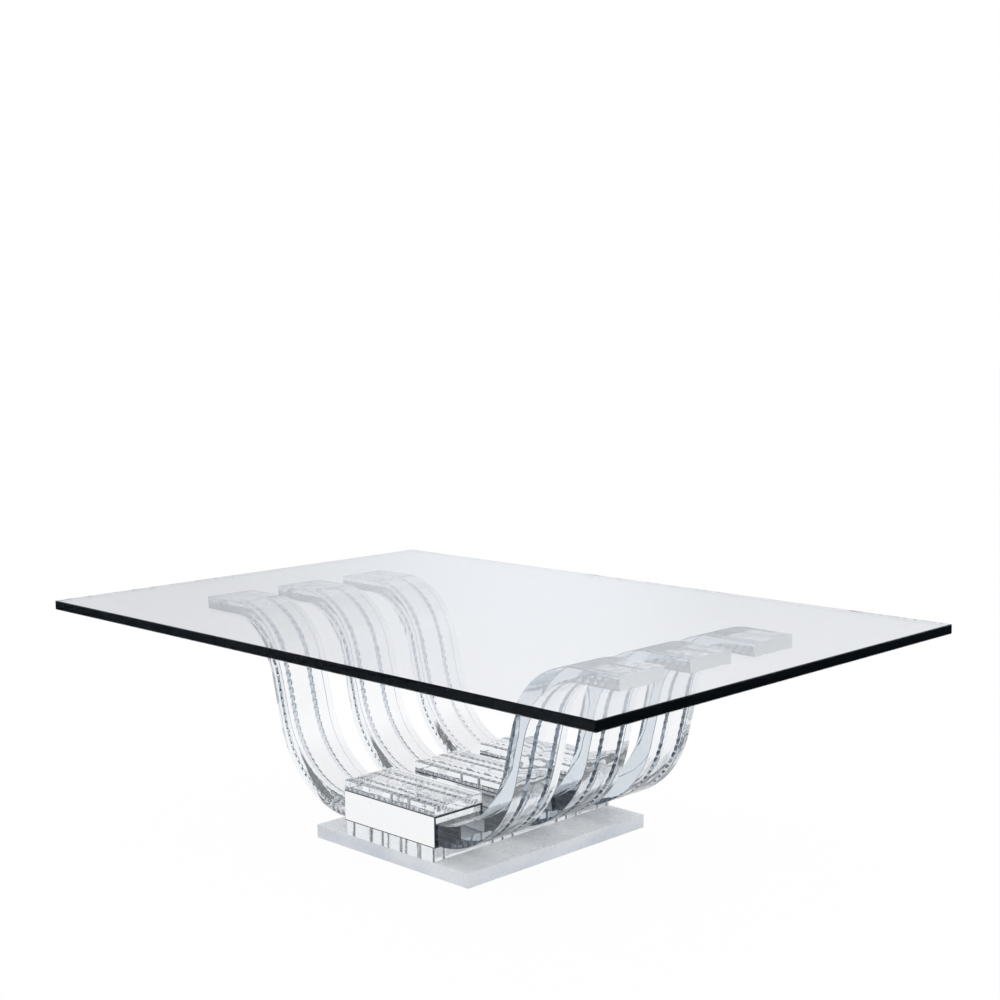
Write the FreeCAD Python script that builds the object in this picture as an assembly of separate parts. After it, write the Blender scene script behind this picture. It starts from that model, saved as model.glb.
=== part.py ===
import FreeCAD, Part
import math
import os

# Waterfall coffee table: a sheet of plate glass on six S shaped clear acrylic arms.
# A left and a right arm share a polished steel sleeve; three sleeves stand side by side
# on a clear riser and a frosted base plate. Millimetres, +Z up, +X along the glass,
# origin on the floor under the middle of the base.

Vector = FreeCAD.Vector
UP = Vector(0, 0, 1)

# --- driving sizes -------------------------------------------------------------------

# glass
glass_length = 1524.0
glass_depth = 1016.0
glass_thickness = 19.05
glass_arris = 1.5
table_height = 457.2

# base and riser
base_length = 437.0
base_depth = 500.0
base_thickness = 28.0
base_arris = 1.0
riser_length = 248.0
riser_thickness = 28.0

# clear pads under the base
floor_pad_side = 24.0
floor_pad_thickness = 1.5
floor_pad_inset = 26.0

# sleeves
sleeve_length = 260.0
sleeve_width = 126.0
sleeve_height = 61.0
sleeve_wall = 4.0
sleeve_arris = 0.8

# arms
arm_reach = 581.0
arm_root_gap = 20.0
arm_root_thickness = 41.0
arm_waist_thickness = 34.0
arm_tip_thickness = 25.5
arm_bend_start = 130.0
rise_angle = 75.7
lower_bend_inner = 185.0
lower_bend_outer = 213.0
upper_bend_outer = 160.0
upper_bend_inner = 134.0

# V grooves along the arms and cap blocks
groove_from_side = 31.0
groove_half_width = 4.5

# cap blocks and packers
cap_thickness = 20.0
cap_arris = 1.2
packer_end_setback = 2.0

# clear pads between arm tips and glass
glass_pad_side = 12.0
glass_pad_thickness = 1.2
glass_pad_from_tip = 22.0
glass_pad_from_side = 20.0

# base bolts
bolt_radius = 4.0
bolt_spacing = 54.0
bolt_head_across = 13.0
bolt_head_height = 5.3
bolt_head_above_floor = 3.5
bolt_grip_in_arm = 24.0
bolt_tip_gap = 2.0
bolt_hole_clearance = 0.4
pocket_clearance = 1.5

# fits
seat_gap = 0.2
side_clearance = 0.5
thread_clearance = 0.05

# workshop allowances
cut_overrun = 1.0
line_tolerance = 0.01

# --- levels and places worked out from them ------------------------------------------

base_z = floor_pad_thickness
bolt_seat = bolt_head_above_floor + bolt_head_height
bolt_head_corner = bolt_head_across / math.sqrt(3)
riser_z = base_z + base_thickness + seat_gap
sleeve_z = riser_z + riser_thickness + seat_gap
sleeve_floor = sleeve_z + sleeve_wall
sleeve_roof = sleeve_z + sleeve_height - sleeve_wall
arm_root_z = sleeve_floor + seat_gap
arm_root_top = arm_root_z + arm_root_thickness
packer_z = arm_root_top + seat_gap
packer_top = sleeve_roof - seat_gap
cap_z = sleeve_z + sleeve_height + seat_gap
glass_z = table_height - glass_thickness
arm_tip_top = glass_z - glass_pad_thickness - seat_gap

bore_width = sleeve_width - 2 * sleeve_wall
arm_width = bore_width - 2 * side_clearance
row_pitch = (base_depth - sleeve_width) / 2
row_places = {"front": -row_pitch, "middle": 0.0, "rear": row_pitch}
arm_bolt_places = (-bolt_spacing, bolt_spacing)
bolt_places = (-bolt_spacing, 0.0, bolt_spacing)


# --- small builders ------------------------------------------------------------------

def block(length, depth, height, z, y=0.0, x=0.0):
    """Box centred on x, y and standing on z."""
    corner = Vector(x - length / 2, y - depth / 2, z)
    return Part.makeBox(length, depth, height, corner)


def rod(radius, z_low, z_high, x, y):
    """Upright cylinder between two levels."""
    return Part.makeCylinder(radius, z_high - z_low, Vector(x, y, z_low), UP)


def through_hole(radius, z_low, z_high, x, y):
    """Cutting rod that runs past both faces of what it drills."""
    return rod(radius, z_low - cut_overrun, z_high + cut_overrun, x, y)


def level_edges(solid):
    """Straight edges that lie level, at the top and bottom of a block."""
    return [edge for edge in solid.Edges
            if abs(edge.tangentAt(edge.FirstParameter).z) < line_tolerance]


def groove_places(width):
    """Where the two grooves run on a piece of a given width, from its middle."""
    offset = width / 2 - groove_from_side
    return (-offset, offset)


def save(name, shapes):
    """Write one node; a list becomes a group of separate solids."""
    shape = shapes if isinstance(shapes, Part.Shape) else Part.makeCompound(shapes)
    shape.exportStep(os.path.join("parts", name + ".step"))
    print(name, len(shape.Solids), "solids, valid", shape.isValid())


# --- arms ----------------------------------------------------------------------------

class Track:
    """A planar path in X and Z, made of tangent lines and arcs."""

    def __init__(self, x, z):
        self.x = x
        self.z = z
        self.turned = 0.0
        self.edges = []

    def point(self):
        return Vector(self.x, 0, self.z)

    def straight(self, length):
        start = self.point()
        self.x += length * math.cos(self.turned)
        self.z += length * math.sin(self.turned)
        self.edges.append(Part.LineSegment(start, self.point()).toShape())

    def bend(self, radius, angle):
        """Arc that turns the path by an angle, up when positive."""
        side = math.copysign(1.0, angle)
        centre_x = self.x - side * radius * math.sin(self.turned)
        centre_z = self.z + side * radius * math.cos(self.turned)
        start = self.point()
        middle_turn = self.turned + angle / 2
        middle = Vector(centre_x + side * radius * math.sin(middle_turn), 0,
                        centre_z - side * radius * math.cos(middle_turn))
        self.turned += angle
        self.x = centre_x + side * radius * math.sin(self.turned)
        self.z = centre_z - side * radius * math.cos(self.turned)
        self.edges.append(Part.Arc(start, middle, self.point()).toShape())

    def straight_to_x(self, x):
        self.straight((x - self.x) / math.cos(self.turned))


def arm_line(bend_x, z_root, z_tip, first_radius, second_radius):
    """Upper or under line of an arm: level, up the S, level again to the tip."""
    turn = math.radians(rise_angle)
    bends_rise = (first_radius + second_radius) * (1 - math.cos(turn))
    track = Track(arm_root_gap / 2, z_root)
    track.straight_to_x(bend_x)
    track.bend(first_radius, turn)
    track.straight((z_tip - z_root - bends_rise) / math.sin(turn))
    track.bend(second_radius, -turn)
    track.straight_to_x(arm_reach)
    return track


def under_bend_start():
    """Where the under line starts to bend, so that the rising part has its waist thickness."""
    turn = math.radians(rise_angle)
    upper_x = arm_bend_start + lower_bend_inner * math.sin(turn)
    upper_z = arm_root_top + lower_bend_inner * (1 - math.cos(turn))
    under_z = arm_root_z + lower_bend_outer * (1 - math.cos(turn))
    under_x = upper_x + arm_waist_thickness / math.sin(turn)
    under_x += (under_z - upper_z) / math.tan(turn)
    return under_x - lower_bend_outer * math.sin(turn)


def arm_profile(upper, under):
    """Closed side view of a right arm between its two lines, as a flat face at y = 0."""
    ends = [Part.LineSegment(upper.edges[0].valueAt(0), under.edges[0].valueAt(0)).toShape(),
            Part.LineSegment(upper.point(), under.point()).toShape()]
    loop = Part.sortEdges(upper.edges + under.edges + ends)[0]
    return Part.Face(Part.Wire(loop))


def seam_edges(body, line, y):
    """Edges of a rib that follow an arm line in one seam plane."""
    seam = line.translated(Vector(0, y, 0))
    picked = []
    for edge in body.Edges:
        middle = edge.valueAt((edge.FirstParameter + edge.LastParameter) / 2)
        if seam.distToShape(Part.Vertex(middle))[0] < line_tolerance:
            picked.append(edge)
    return picked


def right_arm():
    """S shaped arm, thinner towards its tip, with V grooves between three ribs below."""
    upper = arm_line(arm_bend_start, arm_root_top, arm_tip_top,
                     lower_bend_inner, upper_bend_outer)
    under = arm_line(under_bend_start(), arm_root_z, arm_tip_top - arm_tip_thickness,
                     lower_bend_outer, upper_bend_inner)
    profile = arm_profile(upper, under)
    under_line = Part.Wire(under.edges)
    seams = groove_places(arm_width)
    stations = (-arm_width / 2, *seams, arm_width / 2)
    ribs = []
    for y_low, y_high in zip(stations, stations[1:]):
        body = profile.translated(Vector(0, y_low, 0)).extrude(Vector(0, y_high - y_low, 0))
        edges = []
        for seam in seams:
            if seam in (y_low, y_high):
                edges += seam_edges(body, under_line, seam)
        ribs.append(body.makeChamfer(groove_half_width, edges))
    return ribs[0].fuse(ribs[1:]).removeSplitter()


def arm_bolt_hole():
    """Blind threaded hole from below for the base bolt that holds a right arm."""
    return rod(bolt_radius + thread_clearance, arm_root_z - cut_overrun,
               arm_root_z + bolt_grip_in_arm, bolt_spacing, 0)


def build_arms():
    right = right_arm().cut(arm_bolt_hole())
    left = right.mirror(Vector(0, 0, 0), Vector(1, 0, 0))
    for row, y in row_places.items():
        save("arm_right_" + row, right.translated(Vector(0, y, 0)))
        save("arm_left_" + row, left.translated(Vector(0, y, 0)))


# --- sleeves, packers and cap blocks --------------------------------------------------

def sleeve(y):
    """Box section of polished steel, open at both ends, with bolt holes in its floor."""
    outer = block(sleeve_length, sleeve_width, sleeve_height, sleeve_z, y)
    long_edges = [edge for edge in outer.Edges if edge.BoundBox.XLength > sleeve_length / 2]
    outer = outer.makeChamfer(sleeve_arris, long_edges)
    bore = block(sleeve_length + 2 * cut_overrun, bore_width, sleeve_roof - sleeve_floor,
                 sleeve_floor, y)
    holes = [through_hole(bolt_radius + bolt_hole_clearance, sleeve_z, sleeve_floor, x, y)
             for x in arm_bolt_places]
    tapped = through_hole(bolt_radius + thread_clearance, sleeve_z, sleeve_floor, 0, y)
    return outer.cut([bore, tapped] + holes)


def packer(y):
    """Acrylic strip that fills the sleeve above the two arm roots."""
    length = sleeve_length - 2 * packer_end_setback
    return block(length, arm_width, packer_top - packer_z, packer_z, y)


def groove_bar(y, z):
    """Square bar on its corner that cuts one V groove along X at a level."""
    half = groove_half_width
    start = -sleeve_length / 2 - cut_overrun
    corners = [Vector(start, y - half, z), Vector(start, y, z - half),
               Vector(start, y + half, z), Vector(start, y, z + half)]
    outline = Part.Face(Part.makePolygon(corners + corners[:1]))
    return outline.extrude(Vector(-2 * start, 0, 0))


def cap_block(y):
    """Clear block on a sleeve, with the arms' two grooves along its top."""
    body = block(sleeve_length, sleeve_width, cap_thickness, cap_z, y)
    body = body.makeChamfer(cap_arris, level_edges(body))
    return body.cut([groove_bar(y + place, cap_z + cap_thickness)
                     for place in groove_places(sleeve_width)])


# --- base ----------------------------------------------------------------------------

def bolt_pocket(y):
    """Round ended slot in the underside of the base for one row of bolt heads."""
    radius = bolt_head_corner + pocket_clearance
    low = base_z - cut_overrun
    middle = block(2 * bolt_spacing, 2 * radius, bolt_seat - low, low, y)
    ends = [rod(radius, low, bolt_seat, x, y) for x in arm_bolt_places]
    return middle.fuse(ends).removeSplitter()


def bolt_holes(z, thickness):
    """Drills for all nine base bolts through a plate."""
    return [through_hole(bolt_radius + bolt_hole_clearance, z, z + thickness, x, y)
            for y in row_places.values() for x in bolt_places]


def base_plate():
    body = block(base_length, base_depth, base_thickness, base_z)
    body = body.makeChamfer(base_arris, level_edges(body))
    pockets = [bolt_pocket(y) for y in row_places.values()]
    return body.cut(pockets + bolt_holes(base_z, base_thickness))


def riser_plate():
    body = block(riser_length, base_depth, riser_thickness, riser_z)
    return body.cut(bolt_holes(riser_z, riser_thickness))


def base_bolt(x, y, tip):
    """Bolt with its hexagon head in the base's pocket and its shank up to a level."""
    corners = [Vector(x + bolt_head_corner * math.cos(math.radians(turn)),
                      y + bolt_head_corner * math.sin(math.radians(turn)),
                      bolt_head_above_floor) for turn in range(0, 360, 60)]
    outline = Part.Face(Part.makePolygon(corners + corners[:1]))
    head = outline.extrude(Vector(0, 0, bolt_head_height))
    return head.fuse(rod(bolt_radius, bolt_head_above_floor, tip, x, y)).removeSplitter()


def base_bolts():
    """Three bolts to a row: the outer two grip the arm roots, the middle one the sleeve."""
    bolts = []
    for y in row_places.values():
        bolts.append(base_bolt(0, y, sleeve_floor))
        for x in arm_bolt_places:
            bolts.append(base_bolt(x, y, arm_root_z + bolt_grip_in_arm - bolt_tip_gap))
    return bolts


# --- glass and pads -------------------------------------------------------------------

def glass_top():
    body = block(glass_length, glass_depth, glass_thickness, glass_z)
    return body.makeChamfer(glass_arris, body.Edges)


def glass_pads():
    """Two pads on each arm tip, which the glass rests on."""
    along = arm_reach - glass_pad_from_tip
    across = arm_width / 2 - glass_pad_from_side
    return [block(glass_pad_side, glass_pad_side, glass_pad_thickness, arm_tip_top, y + dy, x)
            for y in row_places.values() for x in (-along, along) for dy in (-across, across)]


def floor_pads():
    """Four pads near the corners of the base."""
    along = base_length / 2 - floor_pad_inset
    across = base_depth / 2 - floor_pad_inset
    return [block(floor_pad_side, floor_pad_side, floor_pad_thickness, 0, y, x)
            for x in (-along, along) for y in (-across, across)]


def main():
    os.makedirs("parts", exist_ok=True)
    save("glass_top", glass_top())
    save("glass_pads", glass_pads())
    build_arms()
    for row, y in row_places.items():
        save("sleeve_" + row, sleeve(y))
        save("packer_" + row, packer(y))
        save("cap_block_" + row, cap_block(y))
    save("riser_plate", riser_plate())
    save("base_plate", base_plate())
    save("base_bolts", base_bolts())
    save("floor_pads", floor_pads())


main()
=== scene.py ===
import math

import bmesh
import bpy
from mathutils import Matrix, Vector


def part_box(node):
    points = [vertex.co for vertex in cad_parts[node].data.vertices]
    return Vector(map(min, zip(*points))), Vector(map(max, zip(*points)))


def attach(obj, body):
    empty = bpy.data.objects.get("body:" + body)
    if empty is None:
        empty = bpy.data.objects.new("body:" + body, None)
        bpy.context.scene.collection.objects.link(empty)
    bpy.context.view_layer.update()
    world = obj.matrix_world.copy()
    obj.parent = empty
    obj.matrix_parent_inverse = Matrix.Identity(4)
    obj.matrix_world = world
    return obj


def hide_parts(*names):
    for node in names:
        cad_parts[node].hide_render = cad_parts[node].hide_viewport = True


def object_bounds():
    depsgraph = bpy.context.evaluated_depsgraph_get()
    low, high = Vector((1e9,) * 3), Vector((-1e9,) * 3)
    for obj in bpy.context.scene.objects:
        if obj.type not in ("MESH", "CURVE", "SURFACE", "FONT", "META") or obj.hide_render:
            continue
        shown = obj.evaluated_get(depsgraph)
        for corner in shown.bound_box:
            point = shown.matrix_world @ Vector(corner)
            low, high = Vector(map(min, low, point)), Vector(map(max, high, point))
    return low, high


bl_info = {
    "name": "Waterfall coffee table",
    "version": (1, 0, 0),
    "blender": (4, 5, 0),
    "location": "3D View > Sidebar > Table",
    "description": "Dresses the glass, acrylic and steel of a waterfall coffee table",
    "category": "Object",
}

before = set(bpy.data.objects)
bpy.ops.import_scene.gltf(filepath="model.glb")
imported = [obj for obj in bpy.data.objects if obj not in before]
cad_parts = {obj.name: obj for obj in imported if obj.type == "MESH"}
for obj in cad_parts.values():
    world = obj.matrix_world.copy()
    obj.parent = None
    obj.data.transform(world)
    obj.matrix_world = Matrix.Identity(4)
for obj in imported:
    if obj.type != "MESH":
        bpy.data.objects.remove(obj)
cad_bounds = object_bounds()

BODY = "root"
ROWS = ("front", "middle", "rear")
SIDES = ("right", "left")
WHITE = (1.0, 1.0, 1.0, 1.0)

# refractive indices; the pads' is low, because pads that cling to glass hardly show
GLASS_IOR = 1.52
ACRYLIC_IOR = 1.49
FROSTED_IOR = 1.30
PAD_IOR = 1.06

# lowest and highest roughness of each kind of surface, and how clear the cloudy ones are
GLASS_HAZE = (0.0, 0.004)
FACE_HAZE = (0.0, 0.02)
CAP_GROOVE_HAZE = (0.0, 0.05)
SIDE_HAZE = (0.03, 0.10)
RISER_HAZE = (0.04, 0.10)
LEFT_EDGE_HAZE = (0.05, 0.15)
LEFT_GROOVE_HAZE = (0.08, 0.18)
CAP_EDGE_HAZE = (0.1, 0.2)
SAWN_HAZE = (0.1, 0.2)
GROOVE_HAZE = (0.15, 0.3)
EDGE_HAZE = (0.2, 0.35)
SAWN_CLARITY = 0.3
FROSTED_CLARITY = 0.12

# heights of the slow waves in the polish, in metres
GLASS_RIPPLE = 0.00002
RISER_RIPPLE = 0.0002
CAP_RIPPLE = 0.0003
ARM_RIPPLE = 0.0006

# how far in from a sleeve's roof and floor, and from its sawn ends, the painted dark shade starts
# and is full
SEAM_START, SEAM_FULL = 0.0022, 0.0014
SAWN_START, SAWN_FULL = 0.0009, 0.0003

SEAT_GAP = 0.00002          # between a sleeve and the rods that stand on it
FLOOR_GAP = 0.0002          # between the stage's floor and the pads
DRILL_OVERRUN = 0.001       # how far a drill goes past the face it starts from
THREAD_DEPTH = 0.6          # depth of a thread, as a share of its pitch
SOCKET_DEPTH = 0.8          # depth of a flush head's socket, as a share of its height
LOOKS_UP = 0.9              # a face whose normal rises by more than this looks up
GROOVE_REACH = 1.01         # takes in the vertices that lie on a groove's limits
CREASE = math.radians(12)   # faces that meet at more than this stay crisp

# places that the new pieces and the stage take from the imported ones
SLEEVE_LOW, SLEEVE_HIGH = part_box("sleeve_middle")
CAP_LOW, CAP_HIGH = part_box("cap_block_middle")
ARM_LOW, ARM_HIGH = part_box("arm_right_middle")
FLOOR_LEVEL = cad_bounds[0].z


def row_place(row):
    """Distance of a row of arms from the middle of the table, along Y."""
    low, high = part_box("sleeve_" + row)
    return (low.y + high.y) / 2


# --- settings ------------------------------------------------------------------------

class ArmSizes(bpy.types.PropertyGroup):
    """Shape of the bent arms, in side view."""

    root: bpy.props.FloatProperty(
        name="Root", description="Thickness of an arm in its sleeve",
        default=0.041, unit="LENGTH")
    waist: bpy.props.FloatProperty(
        name="Waist", description="Thickness of an arm on its rise",
        default=0.034, unit="LENGTH")
    tip: bpy.props.FloatProperty(
        name="Tip", description="Thickness of an arm under the glass",
        default=0.0255, unit="LENGTH")
    pad_gap: bpy.props.FloatProperty(
        name="Pad gap", description="Air between a tip and its pads, so that no faces coincide",
        default=0.0001, unit="LENGTH")
    bend_start: bpy.props.FloatProperty(
        name="Bend start", description="From the middle of the table to the lower bend",
        default=0.130, unit="LENGTH")
    rise: bpy.props.FloatProperty(
        name="Rise", description="Slope of the part between the two bends",
        default=math.radians(75.7), unit="ROTATION")
    lower_inner: bpy.props.FloatProperty(
        name="Lower bend inside", description="Radius of the upper face in the lower bend",
        default=0.185, unit="LENGTH")
    lower_outer: bpy.props.FloatProperty(
        name="Lower bend outside", description="Radius of the under face in the lower bend",
        default=0.213, unit="LENGTH")
    upper_outer: bpy.props.FloatProperty(
        name="Upper bend outside", description="Radius of the upper face in the upper bend",
        default=0.160, unit="LENGTH")
    upper_inner: bpy.props.FloatProperty(
        name="Upper bend inside", description="Radius of the under face in the upper bend",
        default=0.134, unit="LENGTH")
    bolt_place: bpy.props.FloatProperty(
        name="Bolt place", description="From the middle of the table to an arm's bolt",
        default=0.054, unit="LENGTH")
    bolt_hole: bpy.props.FloatProperty(
        name="Bolt hole", description="Radius of the hole for the bolt",
        default=0.00405, unit="LENGTH")
    bolt_grip: bpy.props.FloatProperty(
        name="Bolt grip", description="Depth of the hole for the bolt",
        default=0.024, unit="LENGTH")


class CarvingSizes(bpy.types.PropertyGroup):
    """Grooves and notches of the arms and cap blocks."""

    arris: bpy.props.FloatProperty(
        name="Arris", description="Scraped edge along the bars",
        default=0.0009, unit="LENGTH")
    groove_inset: bpy.props.FloatProperty(
        name="Groove inset", description="From a side of a bar to the middle of its groove",
        default=0.031, unit="LENGTH")
    groove_half: bpy.props.FloatProperty(
        name="Groove half width", description="Half the width of a V groove between notches",
        default=0.0050, unit="LENGTH")
    groove_depth: bpy.props.FloatProperty(
        name="Groove depth", description="Depth of a V groove between notches",
        default=0.0042, unit="LENGTH")
    notch_bite: bpy.props.FloatProperty(
        name="Notch bite", description="How far a notch widens its groove to each side",
        default=0.0019, unit="LENGTH")
    notch_pitch: bpy.props.FloatProperty(
        name="Notch pitch", description="Distance between notches along a groove",
        default=0.0165, unit="LENGTH")
    notch_sections: bpy.props.IntProperty(
        name="Notch sections", description="Sections modelled for each notch",
        default=8, min=4)
    first_notch: bpy.props.FloatProperty(
        name="First notch", description="From an arm's tip to the first notch",
        default=0.0192, unit="LENGTH")


class ScrewSizes(bpy.types.PropertyGroup):
    """Small screws on and over the sleeves."""

    cap_spacing: bpy.props.FloatProperty(
        name="Cap screw spacing", description="Between the two screws of a cap block",
        default=0.050, unit="LENGTH")
    cap_radius: bpy.props.FloatProperty(
        name="Cap screw radius", description="Outer radius of a cap screw's thread",
        default=0.0040, unit="LENGTH")
    cap_hole: bpy.props.FloatProperty(
        name="Cap hole", description="Radius of the hole for a cap screw",
        default=0.0043, unit="LENGTH")
    cap_height: bpy.props.FloatProperty(
        name="Cap screw height", description="How far a cap screw reaches into its block",
        default=0.0155, unit="LENGTH")
    thread_pitch: bpy.props.FloatProperty(
        name="Thread pitch", description="Distance between the ridges of a thread",
        default=0.0010, unit="LENGTH")
    head_inset: bpy.props.FloatProperty(
        name="Head inset", description="From a sleeve's end to its flush heads",
        default=0.020, unit="LENGTH")
    head_offset: bpy.props.FloatProperty(
        name="Head offset", description="From the middle of a sleeve to a flush head",
        default=0.023, unit="LENGTH")
    head_radius: bpy.props.FloatProperty(
        name="Head radius", description="Radius of a flush head",
        default=0.0085, unit="LENGTH")
    socket_radius: bpy.props.FloatProperty(
        name="Socket radius", description="Radius of the hexagon socket of a flush head",
        default=0.0040, unit="LENGTH")
    head_height: bpy.props.FloatProperty(
        name="Head height", description="How far a flush head stands over the sleeve",
        default=0.00014, unit="LENGTH")


class TableColours(bpy.types.PropertyGroup):
    """Tints of the glass, acrylic and steel, and painted shade on arms, cap blocks, sleeves and
    sockets.
    """

    glass_tint: bpy.props.FloatVectorProperty(
        name="Glass tint", description="Colour that light takes on deep inside the glass",
        default=(0.02, 0.06, 0.10), subtype="COLOR", size=3, min=0, max=1)
    glass_depth: bpy.props.FloatProperty(
        name="Glass absorption", description="How fast the glass takes up light, per metre",
        default=4.0, min=0)
    acrylic_tint: bpy.props.FloatVectorProperty(
        name="Acrylic tint", description="Colour that light takes on deep inside the acrylic",
        default=(0.06, 0.22, 0.36), subtype="COLOR", size=3, min=0, max=1)
    acrylic_depth: bpy.props.FloatProperty(
        name="Acrylic absorption", description="How fast the acrylic takes up light, per metre",
        default=0.6, min=0)
    # painted shade: the right arms are mirrored copies of the left ones, and this deeper absorption
    # darkens them
    right_shade_depth: bpy.props.FloatProperty(
        name="Right arms' absorption", description="The same for the bluer sheet of the right arms",
        default=1.9, min=0)
    # painted shade: a grey-blue cast that makes the right arms' sides a little darker
    painted_side_shade: bpy.props.FloatVectorProperty(
        name="Side cast", description="Colour of light that has passed the right arms' sides",
        default=(0.90, 0.92, 0.94), subtype="COLOR", size=3, min=0, max=1)
    # painted shade: a grey-blue cast that makes the right arms' grooves darker
    painted_groove_shade: bpy.props.FloatVectorProperty(
        name="Groove cast", description="Colour of light that has passed a satin groove",
        default=(0.69, 0.73, 0.78), subtype="COLOR", size=3, min=0, max=1)
    # painted shade: a dark cast that draws dark outlines along the right arms' edges
    painted_right_edge_shade: bpy.props.FloatVectorProperty(
        name="Edge cast", description="Colour of light that has passed a scraped edge",
        default=(0.58, 0.62, 0.67), subtype="COLOR", size=3, min=0, max=1)
    # painted shade: a light cast that draws faint outlines along the left arms' edges
    painted_left_edge_shade: bpy.props.FloatVectorProperty(
        name="Left edge cast", description="The same for the finer edges of the left arms",
        default=(0.88, 0.90, 0.93), subtype="COLOR", size=3, min=0, max=1)
    # painted shade: a cast that draws darker outlines along the cap blocks' edges
    painted_cap_edge_shade: bpy.props.FloatVectorProperty(
        name="Cap edge cast", description="The same for the edges of the cap blocks",
        default=(0.75, 0.78, 0.82), subtype="COLOR", size=3, min=0, max=1)
    riser_depth: bpy.props.FloatProperty(
        name="Riser absorption", description="How fast the riser takes up light, per metre",
        default=0.3, min=0)
    frost: bpy.props.FloatVectorProperty(
        name="Frost", description="Colour of the foot plate's cut sides",
        default=(0.60, 0.64, 0.70), subtype="COLOR", size=3, min=0, max=1)
    frost_cloud: bpy.props.FloatVectorProperty(
        name="Frost cloud", description="Colour of the paler clouds in those sides",
        default=(0.74, 0.77, 0.81), subtype="COLOR", size=3, min=0, max=1)
    satin: bpy.props.FloatVectorProperty(
        name="Satin", description="Colour of the foot plate's satin faces",
        default=(0.88, 0.905, 0.94), subtype="COLOR", size=3, min=0, max=1)
    satin_cloud: bpy.props.FloatVectorProperty(
        name="Satin cloud", description="Colour of the paler clouds in those faces",
        default=(0.97, 0.98, 0.99), subtype="COLOR", size=3, min=0, max=1)
    steel: bpy.props.FloatVectorProperty(
        name="Steel", description="Colour of the polished sleeves",
        default=(0.93, 0.935, 0.945), subtype="COLOR", size=3, min=0, max=1)
    # painted shade: dark colour along the sleeves' roof and floor seams and sawn ends
    painted_sleeve_edge_shade: bpy.props.FloatVectorProperty(
        name="Polish residue", description="Colour of the dark polish left along steel edges",
        default=(0.08, 0.09, 0.10), subtype="COLOR", size=3, min=0, max=1)
    bolt_dull: bpy.props.FloatVectorProperty(
        name="Bolt, dull", description="Colour of the dull grain of bolts and screws",
        default=(0.84, 0.85, 0.87), subtype="COLOR", size=3, min=0, max=1)
    bolt_bright: bpy.props.FloatVectorProperty(
        name="Bolt, bright", description="Colour of the bright grain of bolts and screws",
        default=(0.94, 0.95, 0.97), subtype="COLOR", size=3, min=0, max=1)
    # painted shade: the dark colour of a screw's shallow socket
    socket_shade_dark: bpy.props.FloatVectorProperty(
        name="Socket, dark", description="Colour of the dark grain inside a screw's socket",
        default=(0.02, 0.02, 0.025), subtype="COLOR", size=3, min=0, max=1)
    socket_shade_pale: bpy.props.FloatVectorProperty(
        name="Socket, pale", description="Colour of the pale grain inside a screw's socket",
        default=(0.05, 0.05, 0.06), subtype="COLOR", size=3, min=0, max=1)
    pad_dust: bpy.props.FloatVectorProperty(
        name="Pad dust", description="Colour of light that has passed a dusty pad",
        default=(0.96, 0.97, 0.98), subtype="COLOR", size=3, min=0, max=1)


class StageSettings(bpy.types.PropertyGroup):
    """Floor, light and camera."""

    floor_side: bpy.props.FloatProperty(
        name="Floor side", description="Length of the square floor",
        default=60.0, unit="LENGTH")
    floor_glow: bpy.props.FloatProperty(
        name="Floor glow", description="Share of the floor's white that isn't shaded",
        default=0.94, min=0, max=1)
    flag_near: bpy.props.FloatProperty(
        name="Flag start", description="Where the dark cloth on the floor starts in reflections",
        default=1.2, unit="LENGTH")
    flag_far: bpy.props.FloatProperty(
        name="Flag full", description="Where the dark cloth on the floor is at its darkest",
        default=1.7, unit="LENGTH")
    flag: bpy.props.FloatVectorProperty(
        name="Flag", description="Colour of the dark cloth on the floor",
        default=(0.035, 0.048, 0.060), subtype="COLOR", size=3, min=0, max=1)
    wall_level: bpy.props.FloatProperty(
        name="Wall level", description="Brightness of the studio wall in reflections",
        default=0.60, min=0)
    screen_level: bpy.props.FloatProperty(
        name="Screen level", description="Brightness of the lit part of the wall ahead",
        default=0.96, min=0)
    right_level: bpy.props.FloatProperty(
        name="Right level", description="Brightness of the wall to the right of its lit part",
        default=0.77, min=0)
    air: bpy.props.FloatVectorProperty(
        name="Air", description="White of floor and wall as the clear pieces show it",
        default=(0.985, 0.988, 1.0), subtype="COLOR", size=3, min=0, max=1)
    beam_level: bpy.props.FloatProperty(
        name="Beam level", description="Brightness of the dark beams between wall and ceiling",
        default=0.12, min=0)
    ceiling_level: bpy.props.FloatProperty(
        name="Ceiling level", description="Brightness of the soft light overhead",
        default=1.0, min=0)
    camera_place: bpy.props.FloatVectorProperty(
        name="Camera place", description="Where the camera stands",
        default=(2.31268, -2.25535, 1.04313), subtype="TRANSLATION", size=3)
    camera_heading: bpy.props.FloatProperty(
        name="Heading", description="Turn of the camera from +Y, to the left",
        default=math.radians(44.9459), unit="ROTATION")
    camera_dip: bpy.props.FloatProperty(
        name="Dip", description="How far the camera looks below the horizon",
        default=math.radians(6.3821), unit="ROTATION")
    camera_roll: bpy.props.FloatProperty(
        name="Roll", description="Tilt of the camera about its own axis",
        default=math.radians(-0.54847), unit="ROTATION")
    camera_sensor: bpy.props.FloatProperty(
        name="Sensor", description="Width of the camera's sensor, in millimetres",
        default=36.0)
    camera_lens: bpy.props.FloatProperty(
        name="Lens", description="Focal length, in millimetres",
        default=58.86)
    light_bounces: bpy.props.IntProperty(
        name="Light bounces", description="How often light may turn inside the clear pieces",
        default=32, min=8)


# --- shader building -----------------------------------------------------------------

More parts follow.
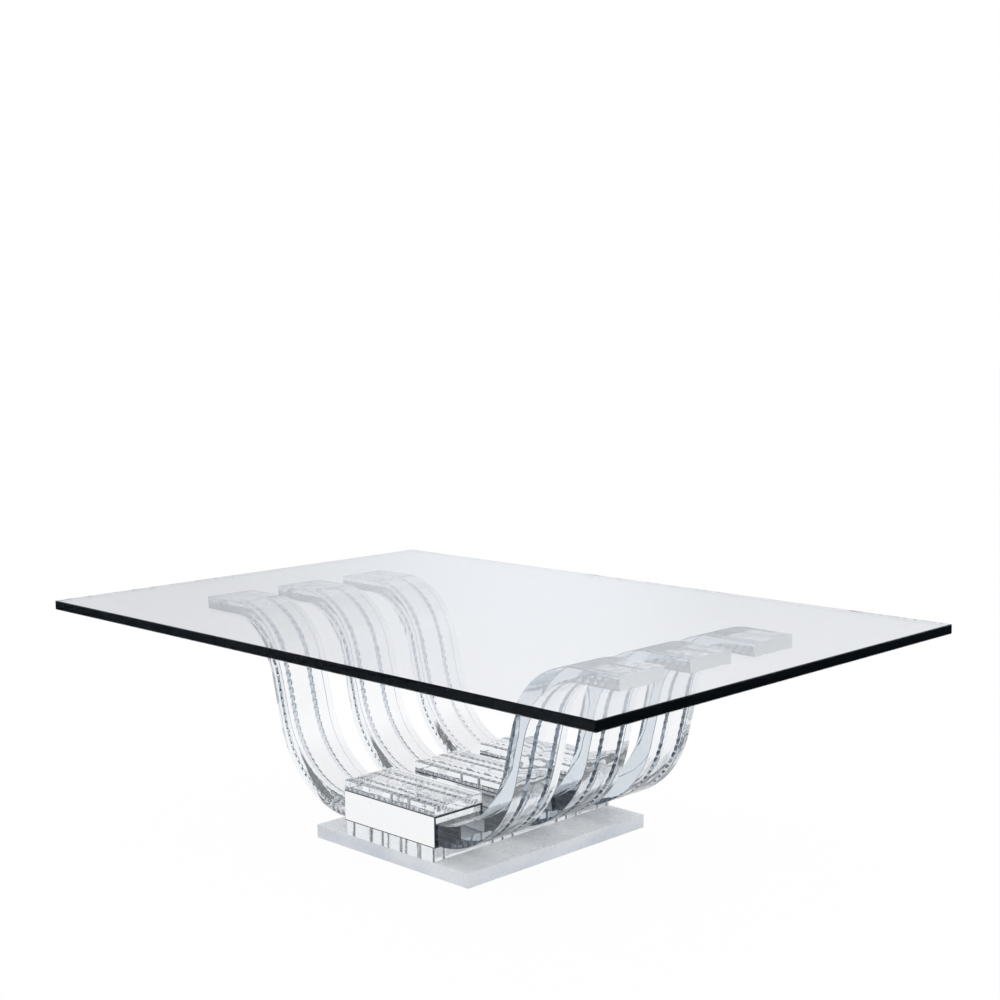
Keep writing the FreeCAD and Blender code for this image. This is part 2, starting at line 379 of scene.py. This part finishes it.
class Shade:
    """A socket's value; expressions on shades add their Math nodes to the bench."""

    def __init__(self, bench, socket):
        self.bench = bench
        self.socket = socket

    def math(self, operation, first, second):
        return self.bench.add("ShaderNodeMath", {"operation": operation}, {0: first, 1: second})

    def __add__(self, other):
        return self.math("ADD", self, other)

    def __sub__(self, other):
        return self.math("SUBTRACT", self, other)

    def __rsub__(self, other):
        return self.math("SUBTRACT", other, self)

    def __mul__(self, other):
        return self.math("MULTIPLY", self, other)

    __radd__ = __add__
    __rmul__ = __mul__


class Bench:
    """Node tree of a material or of the world, and the one way nodes are added to it."""

    def __init__(self, owner):
        owner.use_nodes = True
        self.owner = owner
        self.tree = owner.node_tree
        self.tree.nodes.clear()

    def add(self, kind, settings, sockets, output=0):
        """Add a node: its type, then its settings, then values or links of its sockets."""
        node = self.tree.nodes.new(kind)
        for name, value in settings.items():
            setattr(node, name, value)
        for name, value in sockets.items():
            if isinstance(value, Shade):
                self.tree.links.new(value.socket, node.inputs[name])
            else:
                node.inputs[name].default_value = value
        return Shade(self, node.outputs[output]) if node.outputs else None

    def place(self):
        return self.add("ShaderNodeTexCoord", {}, {}, "Object")

    def noise(self, scale, detail=3.0, vector=None):
        sockets = {"Vector": vector or self.place(), "Scale": scale, "Detail": detail}
        return self.add("ShaderNodeTexNoise", {}, sockets)

    def spread(self, value, low, high, to_low=0.0, to_high=1.0):
        """Value between two limits, spread smoothly between two others."""
        sockets = {"Value": value, "From Min": low, "From Max": high, "To Min": to_low,
                   "To Max": to_high}
        return self.add("ShaderNodeMapRange", {"interpolation_type": "SMOOTHSTEP"}, sockets)

    def facing(self, axis, low, high):
        """Mask of the faces that look along an axis, either way."""
        part = self.axis(self.add("ShaderNodeNewGeometry", {}, {}, "Normal"), axis)
        return self.spread(self.gap(part, 0.0), low, high)

    def gap(self, value, middle):
        """Distance of a value from a middle."""
        return self.add("ShaderNodeMath", {"operation": "ABSOLUTE"}, {0: value - middle})

    def stretched(self, scale):
        """Object coordinates stretched along the axes."""
        return self.add("ShaderNodeMapping", {}, {"Vector": self.place(), "Scale": scale})

    def blend(self, mask, first, second):
        """Two colours, mixed by a mask."""
        sockets = {"Factor": mask, "A": first, "B": second}
        return self.add("ShaderNodeMix", {"data_type": "RGBA"}, sockets, "Result")

    def bump(self, height, distance):
        return self.add("ShaderNodeBump", {}, {"Height": height, "Distance": distance})

    def light_path(self, flag):
        return self.add("ShaderNodeLightPath", {}, {}, flag)

    def axis(self, vector, axis):
        """Part of a vector along an axis."""
        return self.add("ShaderNodeSeparateXYZ", {}, {"Vector": vector}, axis)

    def surface(self, sockets):
        return self.add("ShaderNodeBsdfPrincipled", {}, sockets)

    def glow(self, colour):
        """Surface that shines as bright as its colour."""
        return self.add("ShaderNodeEmission", {}, {"Color": colour, "Strength": 1.0})

    def mix(self, factor, first, second):
        """Two shaders, mixed by a factor."""
        return self.add("ShaderNodeMixShader", {}, {0: factor, 1: first, 2: second})

    def unshaded(self, surface):
        """Clear surface that throws no shade on matt ones."""
        open_air = self.add("ShaderNodeBsdfTransparent", {}, {"Color": WHITE})
        matt = self.light_path("Is Diffuse Ray")
        return self.mix(matt + self.light_path("Is Shadow Ray"), surface, open_air)

    def out(self, surface, volume=None):
        sockets = {"Surface": surface}
        if volume:
            sockets["Volume"] = volume
        self.add("ShaderNodeOutputMaterial", {}, sockets)


def tint(colour):
    """Colour as a socket takes it."""
    return (*colour, 1.0)


def shade_down(colour, share):
    """Colour at a share of its brightness."""
    return tuple(share * part for part in colour[:3])


# --- finishes ------------------------------------------------------------------------

def clear_finish(name, ior, colour, depth, ripple, haze=FACE_HAZE, cast=WHITE, clarity=1.0):
    """Clear glass or acrylic: slow ripples, wiped polish and a tint that grows with depth."""
    bench = Bench(bpy.data.materials.new(name))
    # a cast other than white tints the light that passes a face; the casts of the arms and cap
    # blocks are painted shade
    body = bench.surface({
        "Base Color": bench.blend(bench.noise(3.0), cast, tint(shade_down(cast, 0.985))),
        "Roughness": bench.spread(bench.noise(9.0, 4.0), 0.45, 0.75, *haze),
        "IOR": ior,
        "Transmission Weight": clarity,
        "Normal": bench.bump(bench.noise(25.0, 1.0), ripple),
    })
    deep = bench.add("ShaderNodeVolumeAbsorption", {}, {"Color": tint(colour), "Density": depth})
    bench.out(bench.unshaded(body), deep)
    return bench.owner


def acrylic_finish(name, colours, depth, ripple, **looks):
    """Clear cast acrylic."""
    return clear_finish(name, ACRYLIC_IOR, colours.acrylic_tint, depth, ripple, **looks)


def carved_finishes(name, colours, depth, ripple, looks):
    """Finishes of a carved bar, in the order of its slots."""
    return [acrylic_finish(f"{name}_{slot}", colours, depth, ripple, **looks.get(slot, {}))
            for slot in ("face", "groove", "edge", "side", "end")]


def frosted_finish(colours):
    """Cloudy acrylic with satin faces above and below."""
    bench = Bench(bpy.data.materials.new("frosted_acrylic"))
    smoke = bench.noise(9.0, 1.0, vector=bench.stretched((1.0, 0.6, 2.0)))
    cloud = bench.spread(smoke, 0.30, 0.70)
    sides = bench.blend(cloud, tint(colours.frost), tint(colours.frost_cloud))
    faces = bench.blend(cloud, tint(colours.satin), tint(colours.satin_cloud))
    body = bench.surface({
        "Base Color": bench.blend(bench.facing("Z", 0.5, 0.9), sides, faces),
        "Roughness": bench.spread(bench.noise(40.0), 0.3, 0.7, 0.24, 0.34),
        "IOR": FROSTED_IOR,
        "Transmission Weight": FROSTED_CLARITY,
    })
    bench.out(body)
    return bench.owner


def mirror_finish(colours):
    """Mirror polished steel with faint wipe marks, and painted dark shade along its seams and sawn
    ends.
    """
    bench = Bench(bpy.data.materials.new("mirror_steel"))
    wipe = bench.noise(6.0, 5.0, vector=bench.stretched((1.0, 4.0, 9.0)))
    middle = (SLEEVE_LOW.z + SLEEVE_HIGH.z) / 2
    roof = SLEEVE_HIGH.z - middle
    height = bench.gap(bench.axis(bench.place(), "Z"), middle)
    # painted shade: the steel turns dark near its roof and floor seams and its sawn ends
    seam_shade = bench.spread(height, roof - SEAM_START, roof - SEAM_FULL)
    seam_shade = seam_shade * bench.facing("Y", 0.3, 0.5)
    along = bench.gap(bench.axis(bench.place(), "X"), 0.0)
    cut_end = bench.spread(along, SLEEVE_HIGH.x - SAWN_START, SLEEVE_HIGH.x - SAWN_FULL)
    clean = bench.blend(wipe, tint(colours.steel), tint(shade_down(colours.steel, 0.97)))
    body = bench.surface({
        "Base Color": bench.blend(seam_shade + cut_end, clean, tint(colours.painted_sleeve_edge_shade)),
        "Metallic": 1.0,
        "Roughness": bench.spread(wipe, 0.4, 0.8, 0.02, 0.05) + 0.3 * cut_end,
    })
    bench.out(body)
    return bench.owner


def bolt_finish(colours):
    """Bright steel with rolled threads."""
    bench = Bench(bpy.data.materials.new("bolt_steel"))
    grain = bench.noise(300.0, 2.0)
    rings = bench.add("ShaderNodeTexWave", {"bands_direction": "Z"},
                      {"Vector": bench.place(), "Scale": 250.0})
    body = bench.surface({
        "Base Color": bench.blend(grain, tint(colours.bolt_dull), tint(colours.bolt_bright)),
        "Metallic": 0.3,
        "Roughness": bench.spread(grain, 0.3, 0.7, 0.22, 0.38),
        "Normal": bench.bump(rings, 0.0005),
    })
    bench.out(body)
    return bench.owner


def socket_shade_finish(colours):
    """Painted shade inside a screw's shallow socket: near-black steel."""
    bench = Bench(bpy.data.materials.new("socket_shade_steel"))
    grain = bench.noise(400.0, 2.0)
    body = bench.surface({
        "Base Color": bench.blend(grain, tint(colours.socket_shade_dark), tint(colours.socket_shade_pale)),
        "Metallic": 1.0,
        "Roughness": bench.spread(grain, 0.3, 0.7, 0.4, 0.6),
    })
    bench.out(body)
    return bench.owner


def pad_finish(colours):
    """Clear soft plastic, slightly dusty."""
    bench = Bench(bpy.data.materials.new("clear_pad"))
    dust = bench.noise(120.0)
    body = bench.surface({
        "Base Color": bench.blend(dust, tint(colours.pad_dust), WHITE),
        "Roughness": bench.spread(dust, 0.3, 0.7, 0.0, 0.03),
        "IOR": PAD_IOR,
        "Transmission Weight": 1.0,
    })
    bench.out(bench.unshaded(body))
    return bench.owner


def dress(node, finish):
    """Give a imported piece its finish."""
    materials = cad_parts[node].data.materials
    materials.clear()
    materials.append(finish)


# --- mesh helpers --------------------------------------------------------------------

def new_object(name, mesh):
    """Turn a bmesh into an object that lies at the origin."""
    data = bpy.data.meshes.new(name)
    mesh.to_mesh(data)
    mesh.free()
    piece = bpy.data.objects.new(name, data)
    bpy.context.scene.collection.objects.link(piece)
    return piece


def cut_away(piece, cutters):
    """Cut the cutters out of a piece for good, and remove them."""
    cut = piece.modifiers.new("cut", "BOOLEAN")
    cut.operation = "DIFFERENCE"
    cut.solver = "EXACT"
    cut.object = cutters
    bpy.context.view_layer.update()
    graph = bpy.context.evaluated_depsgraph_get()
    data = bpy.data.meshes.new_from_object(piece.evaluated_get(graph))
    piece.modifiers.remove(cut)
    old = piece.data
    piece.data = data
    data.name = piece.name
    bpy.data.meshes.remove(old)
    bpy.data.objects.remove(cutters)


def polish(piece, finishes):
    """Smooth a piece's round faces, keep its edges crisp, and hand it to the table."""
    for finish in finishes:
        piece.data.materials.append(finish)
    piece.data.shade_smooth()
    piece.data.set_sharp_from_angle(angle=CREASE)
    weigh = piece.modifiers.new("even_normals", "WEIGHTED_NORMAL")
    weigh.keep_sharp = True
    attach(piece, BODY)


def grooved_bar(carving, half_width, height, length):
    """Straight bar along X with two notched V grooves in its under face, in even sections."""
    groove = half_width - carving.groove_inset
    right = [(groove - carving.groove_half, 0), (groove, carving.groove_depth),
             (groove + carving.groove_half, 0), (half_width - carving.arris, 0),
             (half_width, carving.arris), (half_width, height - carving.arris),
             (half_width - carving.arris, height)]
    left = [(-y, z) for y, z in reversed(right)]
    mesh = bmesh.new()
    end = mesh.faces.new([mesh.verts.new((0, y, z)) for y, z in right + left])
    steps = round(length * carving.notch_sections / carving.notch_pitch)
    bmesh.ops.spin(mesh, geom=[end, *end.edges, *end.verts], cent=(0, 0, 0), axis=(0, 1, 0),
                   dvec=(length / steps, 0, 0), angle=0, steps=steps)
    bmesh.ops.recalc_face_normals(mesh, faces=mesh.faces)
    # the rise of a face tells its slot: face, groove, edge, side or end
    rises = [0, carving.groove_depth, carving.arris, height - 2 * carving.arris, height]
    for face in mesh.faces:
        levels = [vert.co.z for vert in face.verts]
        rise = max(levels) - min(levels)
        face.material_index = min(range(len(rises)), key=lambda slot: abs(rises[slot] - rise))
    return mesh


def cut_notches(mesh, carving, half_width, first, low, high):
    """Widen and deepen the grooves at even places along a bar, between two distances."""
    groove = half_width - carving.groove_inset
    for vert in mesh.verts:
        middle = math.copysign(groove, vert.co.y)
        across = vert.co.y - middle
        in_groove = (abs(across) < GROOVE_REACH * carving.groove_half
                     and vert.co.z < GROOVE_REACH * carving.groove_depth)
        if in_groove and low < vert.co.x < high:
            lobe = (vert.co.x - first) / carving.notch_pitch % 1 - 0.5
            swell = carving.notch_bite / carving.groove_half * (2 * lobe) ** 2
            vert.co.y += across * swell
            vert.co.z += vert.co.z * swell


def drill(name, radius, low, high, places):
    """Upright cutting rods between two levels."""
    mesh = bmesh.new()
    for x, y in places:
        bmesh.ops.create_cone(mesh, cap_ends=True, segments=32, radius1=radius, radius2=radius,
                              depth=high - low,
                              matrix=Matrix.Translation((x, y, (low + high) / 2)))
    return new_object(name, mesh)


def cap_screw_places(screws):
    """Places of a cap block's screws along X."""
    return (-screws.cap_spacing / 2, screws.cap_spacing / 2)


class FaceLine:
    """Side view of an arm's upper or under face: level, up through two bends, level again."""

    def __init__(self, start, end, bend_place, first_radius, second_radius, turn):
        bends_climb = (first_radius + second_radius) * (1 - math.cos(turn))
        self.place = start
        self.heading = 0.0
        self.legs = []
        self.add_leg(bend_place - start.x, 0.0)
        self.add_leg(first_radius * turn, turn)
        self.add_leg((end.z - start.z - bends_climb) / math.sin(turn), 0.0)
        self.add_leg(second_radius * turn, -turn)
        self.add_leg(end.x - self.place.x, 0.0)
        self.length = sum(leg[2] for leg in self.legs)

    def add_leg(self, length, turn):
        self.legs.append((self.place, self.heading, length, turn))
        self.place = self.point(len(self.legs) - 1, 1.0)
        self.heading += turn

    def point(self, leg, share):
        """Place at a share of one straight or bent leg."""
        start, heading, length, turn = self.legs[leg]
        half = turn * share / 2
        chord = length * share * (math.sin(half) / half if half else 1.0)
        heading += half
        return start + Vector((math.cos(heading), 0, math.sin(heading))) * chord

    def station(self, distance):
        """The leg at a distance from the start, and the share of it that lies before."""
        for leg, (start, heading, length, turn) in enumerate(self.legs):
            if distance <= length or leg == len(self.legs) - 1:
                return leg, min(distance / length, 1.0)
            distance -= length


# --- pieces --------------------------------------------------------------------------

class TABLE_OT_arms(bpy.types.Operator):
    """Make the six bent acrylic arms with their notched grooves"""

    bl_idname = "coffee_table.arms"
    bl_label = "Acrylic arms"

    def execute(self, context):
        sizes = context.scene.arm_sizes
        colours = context.scene.table_colours
        # painted shade: the right arms get darker casts on their grooves, edges and sides than the
        # left arms, their mirrored copies
        satin_and_shade_looks = {
            "groove": {"cast": tint(colours.painted_groove_shade), "haze": GROOVE_HAZE},
            "edge": {"cast": tint(colours.painted_right_edge_shade), "haze": EDGE_HAZE},
            "side": {"cast": tint(colours.painted_side_shade), "haze": SIDE_HAZE},
            "end": {"haze": SAWN_HAZE, "clarity": SAWN_CLARITY},
        }
        # painted shade: the left arms' edges get a faint darker cast
        clear_looks = {
            "groove": {"haze": LEFT_GROOVE_HAZE},
            "edge": {"cast": tint(colours.painted_left_edge_shade), "haze": LEFT_EDGE_HAZE},
        }
        finishes = {
            "right": carved_finishes("arm_right", colours, colours.right_shade_depth, ARM_RIPPLE,
                                     satin_and_shade_looks),
            "left": carved_finishes("arm_left", colours, colours.acrylic_depth, ARM_RIPPLE,
                                    clear_looks),
        }
        master = self.bent_arm(sizes, context.scene.carving_sizes)
        for row in ROWS:
            for side in SIDES:
                self.place(master, side, row, finishes[side])
        bpy.data.objects.remove(master)
        return {"FINISHED"}

    def face_lines(self, sizes):
        """Upper and under face of a right arm, seen from the front."""
        turn = sizes.rise
        root = Vector((ARM_LOW.x, 0, ARM_LOW.z))
        tip = Vector((ARM_HIGH.x, 0, ARM_HIGH.z - sizes.pad_gap))
        upper = FaceLine(root + Vector((0, 0, sizes.root)), tip, sizes.bend_start,
                         sizes.lower_inner, sizes.upper_outer, turn)
        drop = sizes.root + (sizes.lower_inner - sizes.lower_outer) * (1 - math.cos(turn))
        under_start = (sizes.bend_start
                       + (sizes.lower_inner - sizes.lower_outer) * math.sin(turn)
                       + sizes.waist / math.sin(turn) - drop / math.tan(turn))
        under = FaceLine(root, tip - Vector((0, 0, sizes.tip)), under_start,
                         sizes.lower_outer, sizes.upper_inner, turn)
        return upper, under

    def bent_arm(self, sizes, carving):
        """One right arm: a grooved bar, notched, bent over the S and drilled for its bolt."""
        upper, under = self.face_lines(sizes)
        half_width = (ARM_HIGH.y - ARM_LOW.y) / 2
        mesh = grooved_bar(carving, half_width, sizes.waist, under.length)
        cut_notches(mesh, carving, half_width, under.length - carving.first_notch,
                    SLEEVE_HIGH.x - ARM_LOW.x, under.length)
        for vert in mesh.verts:
            place = under.station(vert.co.x)
            low, high = under.point(*place), upper.point(*place)
            depth = vert.co.z
            if depth > sizes.waist / 2:
                depth += (high - low).length - sizes.waist
            bent = low + (high - low).normalized() * depth
            vert.co = (bent.x, vert.co.y, bent.z)
        arm = new_object("arm_master", mesh)
        cut_away(arm, drill("arm_drill", sizes.bolt_hole, ARM_LOW.z - DRILL_OVERRUN,
                            ARM_LOW.z + sizes.bolt_grip, [(sizes.bolt_place, 0)]))
        return arm

    def place(self, master, side, row, finishes):
        """Copy the arm to its row, mirrored for the left side."""
        mesh = bmesh.new()
        mesh.from_mesh(master.data)
        if side == "left":
            bmesh.ops.scale(mesh, vec=(-1, 1, 1), verts=mesh.verts)
            bmesh.ops.reverse_faces(mesh, faces=mesh.faces)
        bmesh.ops.translate(mesh, vec=(0, row_place(row), 0), verts=mesh.verts)
        arm = new_object(f"carved_arm_{side}_{row}", mesh)
        polish(arm, finishes)
        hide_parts(f"arm_{side}_{row}")


class TABLE_OT_caps(bpy.types.Operator):
    """Make the three cap blocks with their notched grooves and screw holes"""

    bl_idname = "coffee_table.caps"
    bl_label = "Cap blocks"

    def execute(self, context):
        carving = context.scene.carving_sizes
        screws = context.scene.screw_sizes
        colours = context.scene.table_colours
        # painted shade: the cap blocks' edges get a darker cast
        looks = {"groove": {"haze": CAP_GROOVE_HAZE},
                 "edge": {"cast": tint(colours.painted_cap_edge_shade), "haze": CAP_EDGE_HAZE}}
        finishes = carved_finishes("cap", colours, colours.acrylic_depth, CAP_RIPPLE, looks)
        half_width = (CAP_HIGH.y - CAP_LOW.y) / 2
        length = CAP_HIGH.x - CAP_LOW.x
        for row in ROWS:
            mesh = grooved_bar(carving, half_width, CAP_HIGH.z - CAP_LOW.z,
                               length - 2 * carving.arris)
            cut_notches(mesh, carving, half_width, length / 2, 0, length)
            bmesh.ops.rotate(mesh, cent=(0, 0, 0), verts=mesh.verts,
                             matrix=Matrix.Rotation(math.pi, 3, "X"))
            ends = [face for face in mesh.faces if len(face.verts) > 4]
            bmesh.ops.inset_individual(mesh, faces=ends, thickness=carving.arris,
                                       depth=carving.arris, use_even_offset=True)
            bmesh.ops.translate(mesh, verts=mesh.verts,
                                vec=(CAP_LOW.x + carving.arris, row_place(row), CAP_HIGH.z))
            block = new_object("carved_cap_" + row, mesh)
            places = [(x, row_place(row)) for x in cap_screw_places(screws)]
            cut_away(block, drill("cap_drill", screws.cap_hole, CAP_LOW.z - DRILL_OVERRUN,
                                  CAP_LOW.z + screws.cap_height + DRILL_OVERRUN, places))
            polish(block, finishes)
            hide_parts("cap_block_" + row)
        return {"FINISHED"}


class TABLE_OT_glass(bpy.types.Operator):
    """Give the glass top its depth and polish"""

    bl_idname = "coffee_table.glass"
    bl_label = "Glass top"

    def execute(self, context):
        colours = context.scene.table_colours
        dress("glass_top", clear_finish("plate_glass", GLASS_IOR, colours.glass_tint,
                                        colours.glass_depth, GLASS_RIPPLE, GLASS_HAZE))
        return {"FINISHED"}


class TABLE_OT_steel(bpy.types.Operator):
    """Polish the three steel sleeves"""

    bl_idname = "coffee_table.steel"
    bl_label = "Steel sleeves"

    def execute(self, context):
        finish = mirror_finish(context.scene.table_colours)
        for row in ROWS:
            dress("sleeve_" + row, finish)
        return {"FINISHED"}


class TABLE_OT_base(bpy.types.Operator):
    """Finish the frosted foot plate, the clear riser and the packers"""

    bl_idname = "coffee_table.base"
    bl_label = "Base, riser and packers"

    def execute(self, context):
        colours = context.scene.table_colours
        clear = acrylic_finish("riser_acrylic", colours, colours.riser_depth, RISER_RIPPLE,
                               haze=RISER_HAZE)
        dress("riser_plate", clear)
        for row in ROWS:
            dress("packer_" + row, clear)
        dress("base_plate", frosted_finish(colours))
        return {"FINISHED"}


class TABLE_OT_fixings(bpy.types.Operator):
    """Make the small screws, and finish the base bolts and the pads"""

    bl_idname = "coffee_table.fixings"
    bl_label = "Screws, bolts and pads"

    def execute(self, context):
        screws = context.scene.screw_sizes
        colours = context.scene.table_colours
        steel = bolt_finish(colours)
        dress("base_bolts", steel)
        pad = pad_finish(colours)
        dress("glass_pads", pad)
        dress("floor_pads", pad)
        self.cap_screws(screws, steel)
        self.flush_heads(screws, steel, socket_shade_finish(colours))
        return {"FINISHED"}

    def cap_screws(self, screws, finish):
        """Threaded rods that stand on the sleeves and grip the cap blocks."""
        mesh = bmesh.new()
        root = screws.cap_radius - screws.thread_pitch * THREAD_DEPTH
        turns = round(screws.cap_height / screws.thread_pitch)
        for row in ROWS:
            for x in cap_screw_places(screws):
                rod = bmesh.new()
                foot = Vector((root, 0, 0))
                profile = [foot]
                for turn in range(turns):
                    foot_z = turn * screws.thread_pitch
                    profile.append(Vector((screws.cap_radius, 0,
                                           foot_z + screws.thread_pitch / 2)))
                    profile.append(Vector((root, 0, foot_z + screws.thread_pitch)))
                verts = [rod.verts.new(point) for point in profile]
                edges = [rod.edges.new(pair) for pair in zip(verts, verts[1:])]
                bmesh.ops.spin(rod, geom=verts + edges, cent=(0, 0, 0), axis=(0, 0, 1),
                               angle=math.tau, steps=16, use_merge=True)
                bmesh.ops.holes_fill(rod, edges=rod.edges, sides=0)
                bmesh.ops.recalc_face_normals(rod, faces=rod.faces)
                bmesh.ops.translate(rod, verts=rod.verts,
                                    vec=(x, row_place(row), SLEEVE_HIGH.z + SEAT_GAP))
                part = bpy.data.meshes.new("rod")
                rod.to_mesh(part)
                rod.free()
                mesh.from_mesh(part)
                bpy.data.meshes.remove(part)
        polish(new_object("cap_screws", mesh), [finish])

    def flush_heads(self, screws, finish, socket):
        """Screw heads in the roofs of the sleeves, over the arm roots."""
        mesh = bmesh.new()
        for row in ROWS:
            for side in (-1, 1):
                for offset in (-screws.head_offset, screws.head_offset):
                    x = side * (SLEEVE_HIGH.x - screws.head_inset)
                    place = Matrix.Translation((x, row_place(row) + offset,
                                                SLEEVE_HIGH.z + screws.head_height / 2))
                    bmesh.ops.create_cone(mesh, cap_ends=True, segments=32,
                                          radius1=screws.head_radius,
                                          radius2=screws.head_radius - screws.head_height,
                                          depth=screws.head_height, matrix=place)
        tops = [face for face in mesh.faces if face.normal.z > LOOKS_UP]
        bmesh.ops.inset_individual(mesh, faces=tops, depth=-screws.head_height * SOCKET_DEPTH,
                                   thickness=screws.head_radius - screws.socket_radius,
                                   use_even_offset=True)
        heads = new_object("flush_heads", mesh)
        polish(heads, [finish, socket])
        low = SLEEVE_HIGH.z + 0.3 * screws.head_height
        # the socket floors take the painted-shade finish
        for face in heads.data.polygons:
            if face.normal.z > LOOKS_UP and face.center.z < low:
                face.material_index = 1


# --- stage ---------------------------------------------------------------------------

# where the parts of the room blend into each other, as shares of a direction: how far it looks
# ahead, how far aside to the right of the camera, and how far up
WALL_AHEAD = (0.0, 0.3)
SCREEN_EDGE = (-0.2, 0.02)
RIGHT_EDGE = (0.04, 0.16)
WALL_FOOT = (0.0, 0.08)
BEAM_EDGE = (0.55, 0.68)
CEILING_EDGE = (0.80, 0.92)
ROOM_CAST = (0.89, 0.935, 1.0)      # blue of the room's greys


class TABLE_OT_stage(bpy.types.Operator):
    """Set up the pale floor, the soft studio light and the camera"""

    bl_idname = "coffee_table.stage"
    bl_label = "Stage"

    def execute(self, context):
        stage = context.scene.table_stage
        scene = context.scene
        scene.view_settings.view_transform = "Standard"
        scene.cycles.max_bounces = stage.light_bounces
        scene.cycles.glossy_bounces = stage.light_bounces
        scene.cycles.transmission_bounces = stage.light_bounces
        self.lay_floor(stage)
        self.light_world(scene, stage)
        self.set_camera(scene, stage)
        return {"FINISHED"}

    def lay_floor(self, stage):
        """White floor, with a dark cloth far out on it that shows in mirror reflections alone."""
        mesh = bmesh.new()
        bmesh.ops.create_grid(mesh, x_segments=1, y_segments=1, size=stage.floor_side / 2,
                              matrix=Matrix.Translation((0, 0, FLOOR_LEVEL - FLOOR_GAP)))
        floor = new_object("floor", mesh)
        bench = Bench(bpy.data.materials.new("pale_floor"))
        matt = bench.add("ShaderNodeBsdfDiffuse", {}, {"Color": WHITE})
        glossy = bench.light_path("Is Glossy Ray")
        through = bench.light_path("Is Transmission Ray")
        glow = bench.glow(bench.blend(through, WHITE, tint(stage.air)))
        white = bench.mix(stage.floor_glow, matt, glow)
        distance = bench.add("ShaderNodeVectorMath", {"operation": "LENGTH"},
                             {0: bench.place()}, "Value")
        far = bench.spread(distance, stage.flag_near, stage.flag_far)
        dark = bench.glow(tint(stage.flag))
        bench.out(bench.mix(far * glossy * (1 - through), white, dark))
        floor.data.materials.append(bench.owner)

    def light_world(self, scene, stage):
        """White for the eye and for matt surfaces; wall, beams and ceiling in reflections."""
        scene.world = bpy.data.worlds.new("studio")
        bench = Bench(scene.world)
        direction = bench.add("ShaderNodeTexCoord", {}, {}, "Generated")
        height = bench.axis(direction, "Z")
        thrown = bench.light_path("Is Reflection Ray")
        through = bench.light_path("Is Transmission Ray")
        matt = bench.add("ShaderNodeMath", {"operation": "MINIMUM"},
                         {0: bench.light_path("Diffuse Depth"), 1: 1.0})
        course = bench.add("ShaderNodeVectorMath", {"operation": "MULTIPLY"},
                           {0: direction, 1: (1.0, 1.0, 0.0)}, "Vector")
        course = bench.add("ShaderNodeVectorMath", {"operation": "NORMALIZE"}, {0: course},
                           "Vector")
        ahead, aside = (
            bench.add("ShaderNodeVectorMath", {"operation": "DOT_PRODUCT"},
                      {0: course, 1: self.view_axis(stage.camera_heading - turn)}, "Value")
            for turn in (0.0, math.pi / 2))
        ahead = bench.spread(ahead, *WALL_AHEAD)
        lit = ahead * bench.spread(aside, *SCREEN_EDGE)
        right = ahead * bench.spread(aside, *RIGHT_EDGE)
        mirrored = bench.blend(lit, self.cool(stage.wall_level), self.cool(stage.screen_level))
        mirrored = bench.blend(right, mirrored, self.cool(stage.right_level))
        mirrored = bench.blend(bench.spread(height, *WALL_FOOT), WHITE, mirrored)
        room = bench.blend(through, mirrored, tint(stage.air))
        room = bench.blend(bench.spread(height, *BEAM_EDGE), room, self.cool(stage.beam_level))
        room = bench.blend(bench.spread(height, *CEILING_EDGE), room,
                           tint((stage.ceiling_level,) * 3))
        colour = bench.blend(thrown + through - matt, WHITE, room)
        background = bench.add("ShaderNodeBackground", {}, {"Color": colour, "Strength": 1.0})
        bench.add("ShaderNodeOutputWorld", {}, {"Surface": background})

    def cool(self, level):
        """Slightly blue grey of a level."""
        return tint(tuple(level * part for part in ROOM_CAST))

    def view_axis(self, heading):
        """Level direction of a heading."""
        return (-math.sin(heading), math.cos(heading), 0.0)

    def set_camera(self, scene, stage):
        camera = bpy.data.objects.new("camera", bpy.data.cameras.new("camera"))
        scene.collection.objects.link(camera)
        camera.data.sensor_width = stage.camera_sensor
        camera.data.lens = stage.camera_lens
        turn = (Matrix.Rotation(stage.camera_heading, 4, "Z")
                @ Matrix.Rotation(math.pi / 2 - stage.camera_dip, 4, "X")
                @ Matrix.Rotation(stage.camera_roll, 4, "Z"))
        camera.matrix_world = Matrix.Translation(stage.camera_place) @ turn
        scene.camera = camera


# --- add-on --------------------------------------------------------------------------

STEPS = (TABLE_OT_stage, TABLE_OT_glass, TABLE_OT_arms, TABLE_OT_caps, TABLE_OT_steel,
         TABLE_OT_base, TABLE_OT_fixings)


class TABLE_PT_panel(bpy.types.Panel):
    """Lists the steps that dress the table, and their settings."""

    bl_idname = "TABLE_PT_panel"
    bl_label = "Waterfall coffee table"
    bl_space_type = "VIEW_3D"
    bl_region_type = "UI"
    bl_category = "Table"

    def draw(self, context):
        for step in STEPS:
            self.layout.operator(step.bl_idname)
        for store in SETTINGS:
            group = getattr(context.scene, store)
            for name in group.__annotations__:
                self.layout.prop(group, name)


SETTINGS = {"arm_sizes": ArmSizes, "carving_sizes": CarvingSizes, "screw_sizes": ScrewSizes,
            "table_colours": TableColours, "table_stage": StageSettings}
CLASSES = (*SETTINGS.values(), *STEPS, TABLE_PT_panel)


def register():
    for kind in CLASSES:
        bpy.utils.register_class(kind)
    for store, kind in SETTINGS.items():
        setattr(bpy.types.Scene, store, bpy.props.PointerProperty(type=kind))


def unregister():
    for store in SETTINGS:
        delattr(bpy.types.Scene, store)
    for kind in reversed(CLASSES):
        bpy.utils.unregister_class(kind)


def main():
    register()
    for step in STEPS:
        group, name = step.bl_idname.split(".")
        getattr(getattr(bpy.ops, group), name)()


if __name__ == "__main__":
    main()
